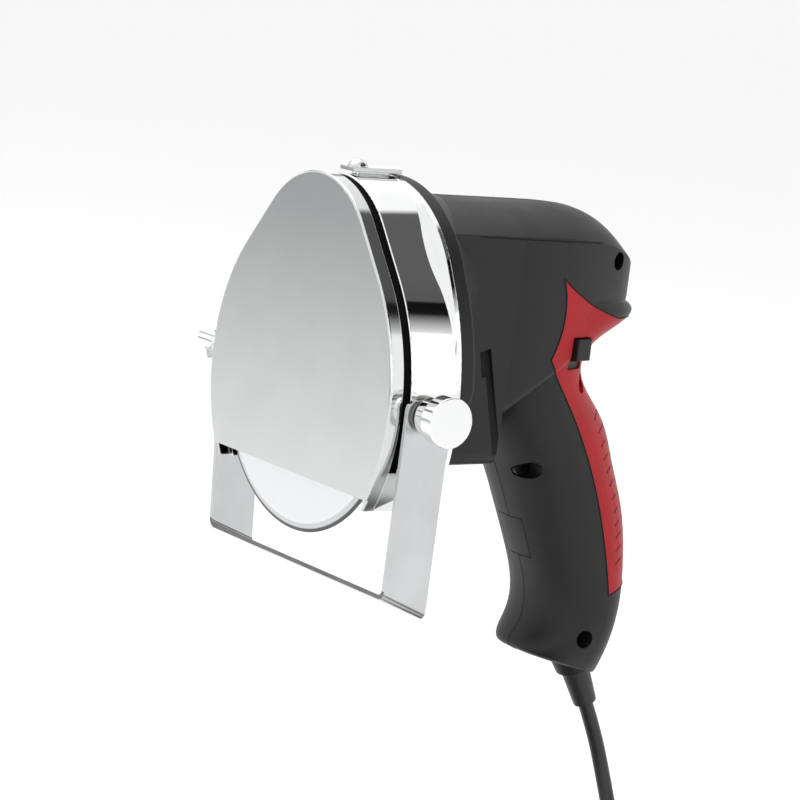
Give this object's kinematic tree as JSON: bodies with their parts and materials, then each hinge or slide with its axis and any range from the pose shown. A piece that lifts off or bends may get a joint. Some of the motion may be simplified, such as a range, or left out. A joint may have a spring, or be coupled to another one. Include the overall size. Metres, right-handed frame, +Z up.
{
  "type": "electric kebab slicer",
  "caption": "Hand-held electric meat slicer: round blade in a polished steel head, swinging thickness guide, dark pistol grip with a red insert and a mains cord.",
  "frame": {"origin": "middle of the pistol grip", "axes": "+Z up; -Y towards the blade's front cover, along the blade axis; +X towards the side with the slide switch"},
  "size_m": [0.2233, 0.1538, 0.2528],
  "materials": {
    "housing_black": "fine moulded texture",
    "grip_red": "soft-touch moulded",
    "switch_grey": "moulded satin",
    "cover_steel": "polished",
    "zinc_steel": "zinc plated",
    "gasket_rubber": "matt",
    "case_chrome": "chromed",
    "back_plate_aluminium": "die cast",
    "clip_steel": "polished",
    "blade_steel": "ground and polished",
    "spindle_steel": "ground",
    "gear_steel": "cut, oiled",
    "bearing_steel": "ground",
    "lamination_steel": "stamped stack",
    "copper_wire": "enamelled copper",
    "copper_bars": "copper",
    "inner_plastic": "moulded",
    "brush_carbon": "carbon",
    "brush_brass": "stamped",
    "guide_steel": "satin",
    "knob_chrome": "chromed, polished",
    "cord_rubber": "satin black sheath",
    "pin_brass": "bright"
  },
  "bodies": {
    "root": {"right_shell": "housing_black", "left_shell": "housing_black", "grip_insert": "grip_red", "cable_gland": "housing_black", "front_cover": "cover_steel", "cover_nuts": "zinc_steel", "cover_gasket": "gasket_rubber", "gear_case": "case_chrome", "gear_case_back": "back_plate_aluminium", "case_screws": "zinc_steel", "top_clip": "clip_steel", "clip_screw": "clip_steel", "spindle_bearing_front": "bearing_steel", "spindle_bearing_rear": "bearing_steel", "motor_bearing_front": "bearing_steel", "motor_bearing_rear": "bearing_steel", "stator_core": "lamination_steel", "field_coils": "copper_wire", "carbon_brushes": "brush_carbon", "brush_holders": "brush_brass", "brush_springs": "spindle_steel", "shell_screws": "zinc_steel", "switch_body": "inner_plastic", "trigger_switch": "inner_plastic", "trigger_spring": "spindle_steel", "cord_clamp": "inner_plastic", "pivot_studs": "zinc_steel", "guide_washers": "zinc_steel", "cord_boot": "cord_rubber", "cord_entry": "cord_rubber", "mains_cord": "cord_rubber", "cord_coil": "cord_rubber", "coil_tie": "inner_plastic", "plug_body": "cord_rubber", "plug_pins": "pin_brass"},
    "blade_set": {"blade": "blade_steel", "blade_screw": "zinc_steel", "spindle": "spindle_steel", "drive_gear": "gear_steel"},
    "rotor": {"motor_shaft": "spindle_steel", "pinion_gear": "gear_steel", "armature_core": "lamination_steel", "armature_windings": "copper_wire", "commutator": "copper_bars", "cooling_fan": "inner_plastic"},
    "guide": {"thickness_guide": "guide_steel"},
    "right_knob_turned": {"right_knob": "knob_chrome"},
    "left_knob_turned": {"left_knob": "knob_chrome"},
    "switch": {"switch_button": "switch_grey"},
    "trigger": {"front_trigger": "switch_grey"}
  },
  "joints": [
    {"name": "blade_spin", "type": "hinge", "parent": "root", "child": "blade_set", "pos_m": [0, -0.1, 0.058], "axis": [0, 1, 0], "continuous": true},
    {"name": "motor_spin", "type": "hinge", "parent": "root", "child": "rotor", "pos_m": [0, -0.05, 0.094], "axis": [0, 1, 0], "continuous": true},
    {"name": "guide_swing", "type": "hinge", "parent": "root", "child": "guide", "pos_m": [0, -0.1083, 0.058], "axis": [1, 0, 0], "range_deg": [-35, 50]},
    {"name": "right_knob_turn", "type": "hinge", "parent": "root", "child": "right_knob_turned", "pos_m": [0.064, -0.1083, 0.058], "axis": [1, 0, 0], "range_deg": [0, 270]},
    {"name": "left_knob_turn", "type": "hinge", "parent": "root", "child": "left_knob_turned", "pos_m": [-0.064, -0.1083, 0.058], "axis": [-1, 0, 0], "range_deg": [0, 270]},
    {"name": "switch_slide", "type": "slide", "parent": "root", "child": "switch", "axis": [0, 0, -1], "range_m": [0, 0.003]},
    {"name": "trigger_press", "type": "slide", "parent": "root", "child": "trigger", "axis": [0, 0.8988, 0.4384], "range_m": [0, 0.0025], "stiffness_N_per_m": 400, "springref_m": -0.001}
  ],
  "couplings": [
    {"joint": "motor_spin", "follows": "blade_spin", "ratio": -4}
  ]
}
